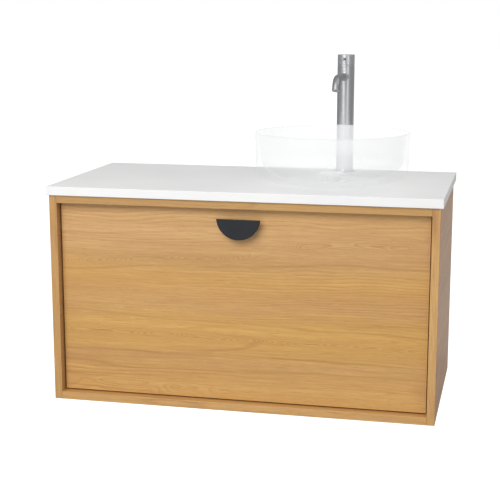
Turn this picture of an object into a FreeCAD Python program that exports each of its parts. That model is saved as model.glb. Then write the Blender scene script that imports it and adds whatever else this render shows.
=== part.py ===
import FreeCAD, Part
import os
import re

import Sketcher

# Vessel sink on a wall-hung vanity, in millimetres.
# Frame: +X to the right, +Y into the wall, +Z up. The origin is the centre of the four
# wall-fixing holes, on the back plane of the unit (y = 0 is the wall).
# "left" is -X and "right" is +X, seen from the front.

# ---------------------------------------------------------------- driving dimensions
DIMENSIONS = {
    # carcase
    "cab_width": 888,            # outside width of the cabinet
    "cab_depth": 455,            # wall to front edge of the side panels
    "cab_height": 485,           # under the countertop to the underside of the bottom panel
    "board": 18,                 # thickness of every carcase board and of the drawer front
    "arris": 0.8,                # rounding of the boards' exposed edges
    "top_rail_depth": 80,        # flat rail over the drawer front
    "rail_height": 100,          # upright rails at the back
    "fixing_inset": 76,          # wall-fixing holes, in from the side panels' inner faces
    "fixing_radius": 3.2,        # wall-fixing holes
    # countertop
    "top_thick": 20,
    "top_over_side": 6,
    "top_over_front": 5,
    "top_edge_radius": 1,
    "tap_hole_radius": 17.5,
    "waste_play": 1.5,           # waste tube in its hole, radial
    # basin
    "basin_x": 175,              # basin, waste, trap and tap share this x
    "basin_gap": 4,              # basin rim to tap body
    "basin_radius": 180,         # at the rim
    "basin_rise": 118,           # rim above the countertop
    "basin_rim": 6,              # glass thickness at the rim
    "basin_taper": 2.5,          # how much narrower the outside is at its foot
    "basin_foot_in": 70,         # flat foot, in from the rim
    "basin_foot_rise": 10,       # rise of the underside from the foot to the wall
    "basin_foot_round": 21,      # outside radius between wall and underside
    "basin_bowl_round": 40,      # inside radius between wall and floor
    "basin_bowl_in": 14,         # how much narrower the inside is at its floor
    "basin_floor": 19,           # floor height at the wall
    "basin_fall": 2.5,           # fall of the floor to the waste
    "basin_edge_round": 2.2,     # rim edges
    "waste_land": 2,             # flat floor round the waste flange
    "seal_width": 10,            # sealing ring under the foot
    "seal_land": 3.5,            # from the waste hole to the sealing ring
    "seal_height": 3,
    # waste
    "waste_tube_radius": 21,
    "waste_wall": 3.5,
    "waste_flange": 11,          # flange beyond the tube
    "waste_flange_thick": 2.5,
    "flange_bevel": 1.5,
    "throat_flare": 3,           # widening of the waste's mouth
    "throat_depth": 1,
    "waste_tail": 62,            # below the underside of the countertop
    "plug_inset": 2,             # plug inside the flange's rim
    "plug_edge": 2,
    "plug_dome": 2.5,
    "plug_shoulder": 0.8,        # share of the dome's rise at half its radius
    "plug_edge_round": 0.66667,
    "plug_stem_radius": 4,
    "plug_stem": 34,
    "plug_travel": 8,
    "guide_thick": 5,
    "guide_side": 2,             # guide bar beside the plug's stem
    "guide_depth": 18,           # guide bar below the flange
    "waste_washer_width": 10,
    "waste_washer_thick": 3,
    "waste_nut_wall": 8,
    "waste_nut_height": 10,
    "waste_nut_hub": 3,          # hub below the nut's collar, and the collar's height
    "grip_radius": 3,            # notches in the nuts' rims
    "grip_out": 1.2,             # notch centres outside the rim
    # trap
    "trap_pipe_radius": 16,
    "trap_wall": 1.5,
    "flare_lip": 3,              # flared top of the trap's inlet pipe
    "flare_height": 3,
    "trap_nut_wall": 6,
    "trap_nut_height": 20,
    "trap_nut_taper": 4,
    "trap_nut_taper_height": 5,
    "trap_body_radius": 29,
    "trap_body_wall": 3,
    "trap_body_height": 74,
    "trap_collar_wall": 5,
    "trap_collar_height": 12,
    "trap_cup_wall": 3,          # cup outside the trap body
    "trap_cup_height": 70,
    "trap_cup_slim": 2,          # cup below its grip ring
    "trap_cup_bevel": 3,
    "trap_cup_bevel_height": 12,
    "trap_grip_rise": 3,         # grip ring beyond the cup
    "trap_dip": 0.35,            # share of the cup that the inlet pipe reaches into
    "trap_grip_height": 18,
    "trap_drop": 105,            # trap inlet nut to trap body
    "outlet_drop": 28,           # outlet axis below the top of the trap body
    "outlet_neck": 20,
    "outlet_neck_wall": 3,
    "outlet_nut_wall": 5,
    "outlet_nut_length": 18,
    "outlet_nut_past": 6,        # outlet nut beyond the neck
    "outlet_end": 1.5,           # the outlet pipe stops this far from the wall plane
    "spigot_length": 60,         # plain end of the outlet pipe, past its bead
    "bead_rise": 1.5,
    "bead_width": 4,
    # tap
    "tap_y": -35,                # tap axis, from the wall
    "tap_radius": 21,
    "tap_wall": 3.5,
    "tap_top": 288,              # top of the tap above the countertop
    "head_height": 25,
    "head_seam": 1.5,
    "head_wall": 3,
    "head_crown": 4,
    "head_round": 1,
    "lip_wall": 1.2,             # thin lip at the top of the tap body
    "lip_depth": 7,
    "base_ring_lip": 5,          # base ring beyond the tap body
    "base_ring_thick": 3,
    "base_ring_round": 1.2,
    "gasket_thick": 1,
    "gasket_inset": 1,           # gasket inside the base ring's rim
    "spigot_depth": 7,           # tap spigot in the countertop hole
    "tap_foot": 14,              # solid foot of the tap body
    "cartridge_height": 36,
    "cartridge_nut_thick": 4,
    "cartridge_shelf": 6,
    "shelf_width": 6,
    "carrier_radius": 9,
    "carrier_rise": 3,           # carrier above the cartridge nut
    "fork_gap": 5,               # half the space between the fork's cheeks
    "fork_cheek": 3.5,
    "fork_round": 5,
    "pivot_radius": 2,
    "lever_radius": 3.3,
    "lever_round": 0.6,
    "lever_height": 15,          # lever and lift pivot above the head's lower edge
    "lever_reach": 59,           # lever tip in front of the tap axis
    "grub_radius": 2.5,
    "grub_drop": 4,              # grub screw below the lever's axis
    "grub_recess": 0.6,
    "inlet_radius": 4.5,
    "inlet_depth": 12,
    "inlet_spacing": 15,
    "inlet_behind": 5,           # inlets behind the tap axis
    "stud_radius": 4,
    "stud_ahead": 13,            # stud in front of the tap axis
    "stud_drop": 45,             # stud below the countertop
    "stud_short": 1,             # stud short of the end of its hole
    "horseshoe_lip": 7.5,        # horseshoe washer beyond the tap hole
    "horseshoe_thick": 3,
    "horseshoe_clear": 2,        # horseshoe washer in front of the upright rail
    "tap_nut_flats": 13,
    "tap_nut_height": 8,
    # spout
    "spout_radius": 9.4,
    "spout_bore": 7.4,
    "spout_root": 234.5,         # spout axis at the tap body, above the countertop
    "spout_rise": 2.2,           # degrees
    "spout_run": 62,
    "spout_bow_radius": 420,
    "spout_bow_down": 5,         # degrees below level where the bow ends
    "spout_bend_radius": 29,
    "spout_down": 64,            # degrees below level at the outlet
    "spout_end": 12,
    "aerator_length": 8,
    "aerator_recess": 1,
    "aerator_rim": 1.2,          # width and height of the rim round the mesh
    # drawer
    "front_setback": 20,         # drawer face behind the carcase edge
    "front_gap": 3,              # shadow gap round the drawer front
    "box_rear_gap": 19,          # box to the back rails
    "box_height": 250,
    "box_board": 12,
    "box_bottom_thick": 8,
    "box_lift": 17,              # box above the bottom panel
    "cutout_width": 160,         # service cut-out round the trap
    "cutout_reach": 60,          # cut-out in front of the waste axis
    "bumper_radius": 5,
    "bumper_inset": 30,
    # runners
    "runner_space": 13,          # side panel to drawer side
    "runner_rear": 28,           # runner ends this far before the back of the box
    "runner_height": 45,
    "runner_sheet": 1.2,
    "runner_play": 0.4,
    "runner_slim": 2.5,          # cabinet channel short of the drawer side
    "runner_front": 2,           # runner behind the back of the drawer front
    "runner_axis": 70,           # runner centre above the bottom of the box
    # handle
    "handle_radius": 50,
    "handle_chord": 3.8,         # flat edge below the circle's centre
    "handle_top": 23.4,          # flat edge below the underside of the top rail
    "handle_plate": 4,
    "handle_edge_round": 1.2,
    "post_radius": 5,
    "post_spacing": 56,
    "post_below": 15,            # posts below the flat edge
    "screw_radius": 2,
    "screw_head_radius": 4.5,
    "screw_head_thick": 2.2,
    "post_solid": 4,             # solid end of each post, at the plate
    "screw_gap": 1,              # screw tip short of the end of its hole
    # clearances
    "fit": 0.05,                 # shaft in hole, radial
    "seat": 0.3,                 # between pieces that move on each other
    "hole_play": 0.5,            # bolt or stud in a clearance hole, radial
    "past": 1,                   # a cutting shape beyond the face that it opens
}

# ---------------------------------------------------------------- lines worked out from them
DERIVED = {
    "cab_side": "cab_width / 2",
    "cab_inside": "cab_width / 2 - board",
    "fixing_spacing_z": "cab_height - board - rail_height",
    "fixing_x": "cab_inside - fixing_inset",
    "cab_top": "(fixing_spacing_z + rail_height) / 2",
    "cab_bottom": "cab_top - cab_height",
    "floor_top": "cab_bottom + board",
    "cab_front": "-cab_depth",
    "deck": "cab_top + top_thick",
    "rail_under": "cab_top - board",
    "front_face": "cab_front + front_setback",
    "front_back": "front_face + board",
    "front_top": "rail_under - front_gap",
    "front_bottom": "floor_top + front_gap",
    "front_side": "cab_inside - front_gap",
    "box_side": "cab_inside - runner_space",
    "box_inside": "box_side - box_board",
    "box_low": "floor_top + box_lift",
    "box_floor": "box_low + box_bottom_thick",
    "box_high": "box_low + box_height",
    "box_back": "-board - box_rear_gap",
    "cut_left": "basin_x - cutout_width / 2",
    "cut_right": "basin_x + cutout_width / 2",
    "cut_front": "basin_y - cutout_reach",
    "runner_start": "front_back + runner_front",
    "runner_end": "box_back - runner_rear",
    "runner_z": "box_low + runner_axis",
    "handle_high": "rail_under - handle_top",
    "post_z": "handle_high - post_below",
    "basin_y": "tap_y - tap_radius - basin_gap - basin_radius",
    "waste_hole_radius": "waste_tube_radius + waste_play",
    "waste_bore_radius": "waste_tube_radius - waste_wall",
    "waste_flange_radius": "waste_tube_radius + waste_flange",
    "plug_radius": "waste_flange_radius - plug_inset",
    "waste_washer_radius": "waste_tube_radius + waste_washer_width",
    "waste_nut_radius": "waste_tube_radius + waste_nut_wall",
    "seal_radius": "waste_hole_radius + seal_land + seal_width",
    "trap_nut_radius": "waste_tube_radius + trap_nut_wall",
    "trap_cup_radius": "trap_body_radius + trap_cup_wall",
    "outlet_neck_radius": "trap_pipe_radius + outlet_neck_wall",
    "outlet_nut_radius": "outlet_neck_radius + outlet_nut_wall",
    "tap_bore": "tap_radius - tap_wall",
    "base_ring_radius": "tap_radius + base_ring_lip",
    "horseshoe_radius": "tap_hole_radius + horseshoe_lip",
    "basin_foot_radius": "basin_radius - basin_foot_in",
    "waste_top": "basin_floor - basin_fall",
    "waste_end": "0 - top_thick - waste_tail",
    "trap_nut_top": "waste_end + trap_nut_height / 2",
    "trap_head_z": "deck + waste_end - trap_drop",
    "outlet_z": "trap_head_z - outlet_drop",
    "tap_foot_z": "gasket_thick + base_ring_thick",
    "head_low": "tap_top - head_height",
    "body_high": "head_low - head_seam",
    "pivot_z": "head_low + lever_height",
    "cartridge_top": "body_high - lip_depth - cartridge_nut_thick",
    "cartridge_low": "cartridge_top - cartridge_height",
}

doc = FreeCAD.newDocument("VesselSinkVanity")
sheet = doc.addObject("Spreadsheet::Sheet", "Dims")
for row, (alias, size) in enumerate(DIMENSIONS.items(), start=1):
    sheet.set("A%d" % row, alias)
    sheet.set("B%d" % row, str(size))
    sheet.setAlias("B%d" % row, alias)
doc.recompute()

NODES = {}


def expand(text):
    """Turn a formula in plain names into one that reads the spreadsheet."""
    def swap(match):
        word = match.group(0)
        if word in DERIVED:
            return "(" + expand(DERIVED[word]) + ")"
        if word in DIMENSIONS:
            return "Dims." + word
        return word
    return re.sub(r"[a-z][a-z_]+", swap, str(text))


def value(text):
    """The present value of a formula."""
    result = sheet.evalExpression(expand(text))
    return float(getattr(result, "Value", result))


def bind(item, place, text):
    item.setExpression(place, expand(text))


def put(item, x="0", y="0", z="0"):
    for axis, text in (("x", x), ("y", y), ("z", z)):
        bind(item, "Placement.Base." + axis, text)


def node(label, item):
    """Name an object as a finished piece."""
    item.Label = label
    NODES[label] = item
    return item


# ---------------------------------------------------------------- simple solids
def box(x, y, z):
    """A block between two formulas on each axis."""
    item = doc.addObject("Part::Box", "Block")
    for side, (low, high) in (("Length", x), ("Width", y), ("Height", z)):
        bind(item, side, "(%s) - (%s)" % (high, low))
    put(item, x[0], y[0], z[0])
    return item


TURN = {
    "x": FreeCAD.Rotation(FreeCAD.Vector(0, 1, 0), 90),
    "y": FreeCAD.Rotation(FreeCAD.Vector(1, 0, 0), -90),
    "z": FreeCAD.Rotation(),
}


def rod(axis, radius, start, length, x="0", y="0", z="0"):
    """A cylinder along an axis, from start over length; the other two places are its centre."""
    item = doc.addObject("Part::Cylinder", "Rod")
    item.Placement.Rotation = TURN[axis]
    bind(item, "Radius", radius)
    bind(item, "Height", length)
    place = {"x": x, "y": y, "z": z}
    place[axis] = start
    put(item, **place)
    return item


def cut(base, *tools):
    tool = tools[0]
    if len(tools) > 1:
        tool = fuse(*tools)
    item = doc.addObject("Part::Cut", "Cut")
    item.Base = base
    item.Tool = tool
    return item


def fuse(*shapes):
    item = doc.addObject("Part::MultiFuse", "Fuse")
    item.Shapes = list(shapes)
    item.Refine = True
    return item


def common(first, second):
    item = doc.addObject("Part::MultiCommon", "Common")
    item.Shapes = [first, second]
    return item


def rounded(base, radius, wanted):
    """Round the edges of base for which wanted(edge) is true."""
    doc.recompute()
    size = value(radius)
    picked = [number for number, edge in enumerate(base.Shape.Edges, start=1) if wanted(edge)]
    item = doc.addObject("Part::Fillet", "Round")
    item.Base = base
    item.Edges = [(number, size, size) for number in picked]
    return item


def board_with_arris(x, y, z, planes):
    """A block whose edges that lie in one of the given planes are rounded by the arris.
    planes is a list of (axis, formula)."""
    blank = box(x, y, z)

    def exposed(edge):
        for axis, text in planes:
            place = value(text)
            ends = [getattr(vertex.Point, axis) for vertex in edge.Vertexes]
            if all(abs(end - place) < 0.01 for end in ends):
                return True
        return False

    return rounded(blank, "arris", exposed)


# ---------------------------------------------------------------- sketched solids
def origin_plane(body, role):
    return [part for part in body.Origin.OriginFeatures if part.Role == role][0]


def outline(body, role, points):
    """A closed outline of straight lines whose corners are bound to formulas."""
    sketch = body.newObject("Sketcher::SketchObject", "Outline")
    sketch.AttachmentSupport = [(origin_plane(body, role), "")]
    sketch.MapMode = "FlatFace"
    corners = [FreeCAD.Vector(value(a), value(b), 0) for a, b in points]
    count = len(corners)
    for number in range(count):
        sketch.addGeometry(Part.LineSegment(corners[number], corners[(number + 1) % count]), False)
    for number in range(count):
        sketch.addConstraint(Sketcher.Constraint("Coincident", number, 2, (number + 1) % count, 1))
    for number, pair in enumerate(points):
        bind_point(sketch, number, 1, "p%d" % number, pair)
    return sketch


def bind_point(sketch, geometry, vertex, name, pair):
    for kind, side, text in (("DistanceX", "x", pair[0]), ("DistanceY", "y", pair[1])):
        index = sketch.addConstraint(Sketcher.Constraint(kind, -1, 1, geometry, vertex, value(text)))
        sketch.renameConstraint(index, name + side)
        sketch.setExpression("Constraints." + name + side, expand(text))


def disc(body, role, radius, x="0", y="0"):
    """A circle outline."""
    sketch = body.newObject("Sketcher::SketchObject", "Circle")
    sketch.AttachmentSupport = [(origin_plane(body, role), "")]
    sketch.MapMode = "FlatFace"
    centre = FreeCAD.Vector(value(x), value(y), 0)
    sketch.addGeometry(Part.Circle(centre, FreeCAD.Vector(0, 0, 1), value(radius)), False)
    bind_point(sketch, 0, 3, "centre", (x, y))
    index = sketch.addConstraint(Sketcher.Constraint("Radius", 0, value(radius)))
    sketch.renameConstraint(index, "radius")
    sketch.setExpression("Constraints.radius", expand(radius))
    return sketch


def turned(label, profile, x="0", y="0", z="0"):
    """A body of revolution: profile is a list of (radius, height) formulas."""
    body = doc.addObject("PartDesign::Body", "Turned")
    sketch = outline(body, "XZ_Plane", profile)
    feature = body.newObject("PartDesign::Revolution", "Revolution")
    feature.Profile = sketch
    feature.ReferenceAxis = (sketch, ["V_Axis"])
    feature.Angle = 360
    put(body, x, y, z)
    return node(label, body)


def tube(label, outer, inner, low, high, x="0", y="0", z="0"):
    """A turned ring or tube between two heights."""
    return turned(label, [(inner, low), (outer, low), (outer, high), (inner, high)], x, y, z)


def round_circles(body, radius, circles):
    """Fillet the circular edges of a turned body that lie at the given (radius, height) places."""
    doc.recompute()
    base = body.Tip
    names = []
    for number, edge in enumerate(base.Shape.Edges, start=1):
        if not isinstance(edge.Curve, Part.Circle):
            continue
        for ring, height in circles:
            near_ring = abs(edge.Curve.Radius - value(ring)) < 0.01
            if near_ring and abs(edge.Curve.Center.z - value(height)) < 0.01:
                names.append("Edge%d" % number)
    feature = body.newObject("PartDesign::Fillet", "Fillet")
    feature.Base = (base, names)
    bind(feature, "Radius", radius)
    body.Tip = feature
    doc.recompute()
    return feature


def drill(body, role, radius, depth, x="0", y="0", start="0", reverse=False):
    """A round pocket that starts beside one of the body's own origin planes."""
    doc.recompute()
    before = body.Shape.Volume
    sketch = disc(body, role, radius, x, y)
    bind(sketch, "AttachmentOffset.Base.z", start)
    pocket = body.newObject("PartDesign::Pocket", "Drill")
    pocket.Profile = sketch
    pocket.Reversed = reverse
    bind(pocket, "Length", depth)
    body.Tip = pocket
    doc.recompute()
    if body.Shape.Volume > before - 0.01:
        raise RuntimeError("%s: a drilled hole cut nothing" % body.Label)
    return pocket


# ---------------------------------------------------------------- carcase
def build_carcase():
    for name, low, high in (("side_panel_left", "-cab_side", "-cab_inside"),
                            ("side_panel_right", "cab_inside", "cab_side")):
        node(name, board_with_arris((low, high), ("cab_front", "0"), ("cab_bottom", "cab_top"),
                                    [("y", "cab_front")]))
    across = ("-cab_inside", "cab_inside")
    node("bottom_panel", board_with_arris(across, ("cab_front", "0"), ("cab_bottom", "floor_top"),
                                          [("y", "cab_front")]))
    node("top_front_rail", board_with_arris(across, ("cab_front", "cab_front + top_rail_depth"),
                                            ("rail_under", "cab_top"), [("y", "cab_front")]))
    for name, low, hole in (
            ("back_rail_upper", "cab_top - rail_height", "fixing_spacing_z / 2"),
            ("back_rail_lower", "floor_top", "-fixing_spacing_z / 2")):
        rail = box(across, ("-board", "0"), (low, "%s + rail_height" % low))
        holes = [rod("y", "fixing_radius", "-board - past", "board + 2 * past", x=side, z=hole)
                 for side in ("-fixing_x", "fixing_x")]
        node(name, cut(rail, *holes))


def build_countertop():
    slab = box(("-cab_side - top_over_side", "cab_side + top_over_side"),
               ("cab_front - top_over_front", "0"), ("cab_top", "deck"))
    back = value("0")

    def exposed(edge):
        return any(abs(vertex.Y - back) > 1 for vertex in edge.Vertexes)

    slab = rounded(slab, "top_edge_radius", exposed)
    low = "cab_top - past"
    through = "top_thick + 2 * past"
    holes = [rod("z", "waste_hole_radius", low, through, x="basin_x", y="basin_y"),
             rod("z", "tap_hole_radius", low, through, x="basin_x", y="tap_y")]
    node("countertop", cut(slab, *holes))


# ---------------------------------------------------------------- basin and waste
def build_basin():
    wall_foot = "basin_radius - basin_taper"
    wall_in = "basin_radius - basin_rim"
    bowl_foot = "basin_radius - basin_rim - basin_bowl_in"
    body = turned("basin", [
        ("seal_radius", "0"), ("basin_foot_radius", "0"), (wall_foot, "basin_foot_rise"),
        ("basin_radius", "basin_rise"),
        (wall_in, "basin_rise"), (bowl_foot, "basin_floor"),
        ("waste_flange_radius + waste_land", "waste_top"), ("waste_hole_radius", "waste_top"),
        ("waste_hole_radius", "seal_height"), ("seal_radius", "seal_height")],
        "basin_x", "basin_y", "deck")
    round_circles(body, "basin_bowl_round", [(bowl_foot, "basin_floor")])
    round_circles(body, "basin_foot_round", [(wall_foot, "basin_foot_rise")])
    round_circles(body, "basin_edge_round",
                  [("basin_radius", "basin_rise"), (wall_in, "basin_rise")])
    tube("basin_seal", "seal_radius - seat", "seal_radius - seal_width", "0", "seal_height",
         "basin_x", "basin_y", "deck")


def build_waste():
    at = ("basin_x", "basin_y", "deck")
    flange_top = "waste_top + waste_flange_thick"
    turned("waste_tube", [
        ("waste_bore_radius", "waste_end"), ("waste_tube_radius", "waste_end"),
        ("waste_tube_radius", "waste_top"), ("waste_flange_radius", "waste_top"),
        ("waste_flange_radius - flange_bevel", flange_top),
        ("waste_bore_radius + throat_flare", flange_top),
        ("waste_bore_radius", "waste_top - throat_depth")], *at)
    guide_top = "deck + waste_top - guide_depth"
    bar = box(("basin_x - waste_bore_radius + fit", "basin_x + waste_bore_radius - fit"),
              ("basin_y - plug_stem_radius - guide_side", "basin_y + plug_stem_radius + guide_side"),
              (guide_top + " - guide_thick", guide_top))
    bore = rod("z", "plug_stem_radius + fit", guide_top + " - guide_thick - past",
               "guide_thick + 2 * past",
               x="basin_x", y="basin_y")
    ring = rod("z", "waste_bore_radius - fit", guide_top + " - guide_thick", "guide_thick",
               x="basin_x", y="basin_y")
    node("waste_guide", cut(common(bar, ring), bore))
    under = flange_top + " + seat"
    plug = turned("waste_plug", [
        ("0", flange_top + " + seat - plug_stem"), ("plug_stem_radius", flange_top + " + seat - plug_stem"),
        ("plug_stem_radius", under), ("plug_radius", under), ("plug_radius", under + " + plug_edge"),
        ("plug_radius / 2", under + " + plug_edge + plug_dome * plug_shoulder"),
        ("0", under + " + plug_edge + plug_dome")], *at)
    round_circles(plug, "plug_edge_round", [("plug_radius", under + " + plug_edge")])
    under_top = "0 - top_thick"
    tube("waste_washer", "waste_washer_radius", "waste_tube_radius + fit",
         under_top + " - waste_washer_thick", under_top, *at)
    nut_high = under_top + " - waste_washer_thick"
    nut_low = nut_high + " - waste_nut_height"
    nut = turned("waste_nut", [
        ("waste_tube_radius + fit", nut_low), ("waste_nut_radius - waste_nut_hub", nut_low),
        ("waste_nut_radius - waste_nut_hub", nut_high + " - waste_nut_hub"),
        ("waste_nut_radius", nut_high + " - waste_nut_hub"),
        ("waste_nut_radius", nut_high), ("waste_tube_radius + fit", nut_high)], *at)
    notch_grips(nut, "waste_nut_radius", 8, nut_low, nut_high)


def notch_grips(body, radius, count, low, high):
    """Grip notches round a nut: one round pocket, repeated about the nut's axis."""
    doc.recompute()
    before = body.Shape.Volume
    sketch = disc(body, "XY_Plane", "grip_radius", "%s + grip_out" % radius, "0")
    bind(sketch, "AttachmentOffset.Base.z", high)
    pocket = body.newObject("PartDesign::Pocket", "Grip")
    pocket.Profile = sketch
    bind(pocket, "Length", "(%s) - (%s)" % (high, low))
    pattern = body.newObject("PartDesign::PolarPattern", "Grips")
    pattern.Originals = [pocket]
    pattern.Axis = ([part for part in body.Origin.OriginFeatures if part.Role == "Z_Axis"][0], [""])
    pattern.Angle = 360
    pattern.Occurrences = count
    body.Tip = pattern
    doc.recompute()
    if body.Shape.Volume > before - 1:
        raise RuntimeError("%s: the grips cut nothing" % body.Label)


# ---------------------------------------------------------------- trap
def build_trap():
    at = ("basin_x", "basin_y", "deck")
    pipe_in = "trap_pipe_radius - trap_wall"
    nut_low = "trap_nut_top - trap_nut_height"
    grip_low = nut_low + " + trap_nut_taper_height"
    nut = turned("trap_inlet_nut", [
        ("trap_pipe_radius + fit", nut_low), ("trap_nut_radius - trap_nut_taper", nut_low),
        ("trap_nut_radius", grip_low), ("trap_nut_radius", "trap_nut_top"),
        ("waste_tube_radius + fit", "trap_nut_top"),
        ("waste_tube_radius + fit", "waste_end - flare_lip"),
        ("trap_pipe_radius + fit", "waste_end - flare_lip - flare_height")], *at)
    notch_grips(nut, "trap_nut_radius", 10, grip_low, "trap_nut_top")
    head = "trap_head_z - deck"
    dip = head + " - trap_body_height - trap_cup_height * trap_dip"
    turned("trap_inlet_pipe", [
        (pipe_in, dip), ("trap_pipe_radius", dip),
        ("trap_pipe_radius", "waste_end - flare_lip - flare_height"),
        ("waste_tube_radius", "waste_end - flare_lip"), ("waste_tube_radius", "waste_end"),
        (pipe_in, "waste_end")], *at)
    shell_in = "trap_body_radius - trap_body_wall"
    shell = cut(rod("z", "trap_body_radius", "trap_head_z - trap_body_height", "trap_body_height",
                    x="basin_x", y="basin_y"),
                rod("z", shell_in, "trap_head_z - trap_body_height - past",
                    "trap_body_height + past - trap_body_wall", x="basin_x", y="basin_y"),
                rod("z", "trap_pipe_radius + fit", "trap_head_z - trap_body_wall - past",
                    "trap_body_wall + 2 * past", x="basin_x", y="basin_y"))
    collar = cut(rod("z", "trap_pipe_radius + trap_collar_wall", "trap_head_z - past",
                     "trap_collar_height + past", x="basin_x", y="basin_y"),
                 rod("z", "trap_pipe_radius + fit", "trap_head_z - 2 * past",
                     "trap_collar_height + 3 * past", x="basin_x", y="basin_y"))
    neck_start = "basin_y + trap_body_radius - trap_body_wall"
    neck = rod("y", "outlet_neck_radius", neck_start, "outlet_neck + trap_body_wall",
               x="basin_x", z="outlet_z")
    bore = rod("y", "trap_pipe_radius + fit", "basin_y",
               "trap_body_radius + outlet_neck + past", x="basin_x", z="outlet_z")
    clear = rod("z", shell_in, "trap_head_z - trap_body_height - past",
                "trap_body_height + past - trap_body_wall", x="basin_x", y="basin_y")
    node("trap_body", cut(fuse(shell, collar, neck), bore, clear))
    cup_top = head + " - trap_body_height + trap_grip_height"
    cup_low = cup_top + " - trap_grip_height - trap_cup_height"
    slim = "trap_cup_radius - trap_cup_slim"
    grip = "trap_cup_radius + trap_grip_rise"
    cup = turned("trap_cup", [
        ("0", cup_low), (slim + " - trap_cup_bevel", cup_low),
        (slim, cup_low + " + trap_cup_bevel_height"), (slim, cup_top + " - trap_grip_height"),
        (grip, cup_top + " - trap_grip_height"), (grip, cup_top),
        ("trap_body_radius + fit", cup_top),
        ("trap_body_radius + fit", head + " - trap_body_height"),
        (shell_in, head + " - trap_body_height"), (shell_in, cup_low + " + trap_body_wall"),
        ("0", cup_low + " + trap_body_wall")], *at)
    notch_grips(cup, grip, 12, cup_top + " - trap_grip_height", cup_top)
    neck_end = "basin_y + trap_body_radius + outlet_neck"
    ring = rod("y", "outlet_nut_radius", neck_end + " - outlet_nut_length + outlet_nut_past",
               "outlet_nut_length", x="basin_x", z="outlet_z")
    seat_bore = rod("y", "outlet_neck_radius + fit", neck_end + " - outlet_nut_length",
                    "outlet_nut_length", x="basin_x", z="outlet_z")
    pipe_bore = rod("y", "trap_pipe_radius + fit", neck_end + " - outlet_nut_length",
                    "outlet_nut_length * 2", x="basin_x", z="outlet_z")
    node("trap_outlet_nut", cut(ring, seat_bore, pipe_bore))
    start = "basin_y + trap_body_radius"
    length = "-outlet_end - (%s)" % start
    pipe = rod("y", "trap_pipe_radius", start, length, x="basin_x", z="outlet_z")
    bead = rod("y", "trap_pipe_radius + bead_rise", "-outlet_end - spigot_length - bead_width",
               "bead_width", x="basin_x", z="outlet_z")
    bore = rod("y", pipe_in, start + " - past", length + " + 2 * past", x="basin_x", z="outlet_z")
    node("trap_outlet_pipe", cut(fuse(pipe, bead), bore))


# ---------------------------------------------------------------- tap
def build_tap_body():
    at = ("basin_x", "tap_y", "deck")
    tube("tap_gasket", "base_ring_radius - gasket_inset", "tap_hole_radius", "0", "gasket_thick", *at)
    ring = tube("tap_base_ring", "base_ring_radius", "tap_hole_radius", "gasket_thick",
                "tap_foot_z", *at)
    round_circles(ring, "base_ring_round", [("base_ring_radius", "tap_foot_z")])
    spigot = "tap_hole_radius - hole_play"
    cavity = "tap_foot_z + tap_foot"
    shelf = "cartridge_low - cartridge_shelf"
    body = turned("tap_body", [
        ("0", "0 - spigot_depth"), (spigot, "0 - spigot_depth"), (spigot, "tap_foot_z"),
        ("tap_radius", "tap_foot_z"), ("tap_radius", "body_high"),
        ("tap_radius - lip_wall", "body_high"), ("tap_radius - lip_wall", "body_high - lip_depth"),
        ("tap_bore", "body_high - lip_depth"), ("tap_bore", "cartridge_low"),
        ("tap_bore - shelf_width", "cartridge_low"), ("tap_bore - shelf_width", shelf),
        ("tap_bore", shelf),
        ("tap_bore", cavity), ("0", cavity)], *at)
    for radius, x, y in (("inlet_radius", "-inlet_spacing / 2", "inlet_behind"),
                         ("inlet_radius", "inlet_spacing / 2", "inlet_behind"),
                         ("stud_radius + fit", "0", "-stud_ahead")):
        drill(body, "XY_Plane", radius, "inlet_depth", x, y, "0 - spigot_depth", reverse=True)
    climb = "(tap_radius - tap_bore + fit) * sin(spout_rise)"
    drill(body, "XZ_Plane", "spout_radius + fit + " + climb, "tap_radius + past", "0",
          "spout_root", reverse=True)


def build_tap_fixings():
    stud_y = "tap_y - stud_ahead"
    node("tap_stud", rod("z", "stud_radius", "cab_top - stud_drop",
                         "stud_drop + top_thick - spigot_depth + inlet_depth - stud_short",
                         x="basin_x", y=stud_y))
    plate_low = "cab_top - horseshoe_thick"
    plate = rod("z", "horseshoe_radius", plate_low, "horseshoe_thick", x="basin_x", y="tap_y")
    plate_cut = (plate_low + " - past", "horseshoe_thick + 2 * past")
    plate_span = (plate_low + " - past", "cab_top + past")
    slot_radius = "inlet_spacing / 2 + inlet_radius + hole_play"
    slot_y = "tap_y + inlet_behind"
    tools = [rod("z", slot_radius, *plate_cut, x="basin_x", y=slot_y),
             box(("basin_x - (%s)" % slot_radius, "basin_x + (%s)" % slot_radius),
                 (slot_y, "tap_y + horseshoe_radius + past"), plate_span),
             box(("basin_x - horseshoe_radius - past", "basin_x + horseshoe_radius + past"),
                 ("-board - horseshoe_clear", "0"), plate_span),
             rod("z", "stud_radius + hole_play", *plate_cut, x="basin_x", y=stud_y)]
    node("tap_horseshoe", cut(plate, *tools))
    prism = doc.addObject("Part::Prism", "Hexagon")
    prism.Polygon = 6
    bind(prism, "Circumradius", "tap_nut_flats / sqrt(3)")
    bind(prism, "Height", "tap_nut_height")
    put(prism, "basin_x", stud_y, plate_low + " - tap_nut_height")
    bore = rod("z", "stud_radius + fit", plate_low + " - tap_nut_height - past",
               "tap_nut_height + 2 * past", x="basin_x", y=stud_y)
    node("tap_nut", cut(prism, bore))


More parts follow.
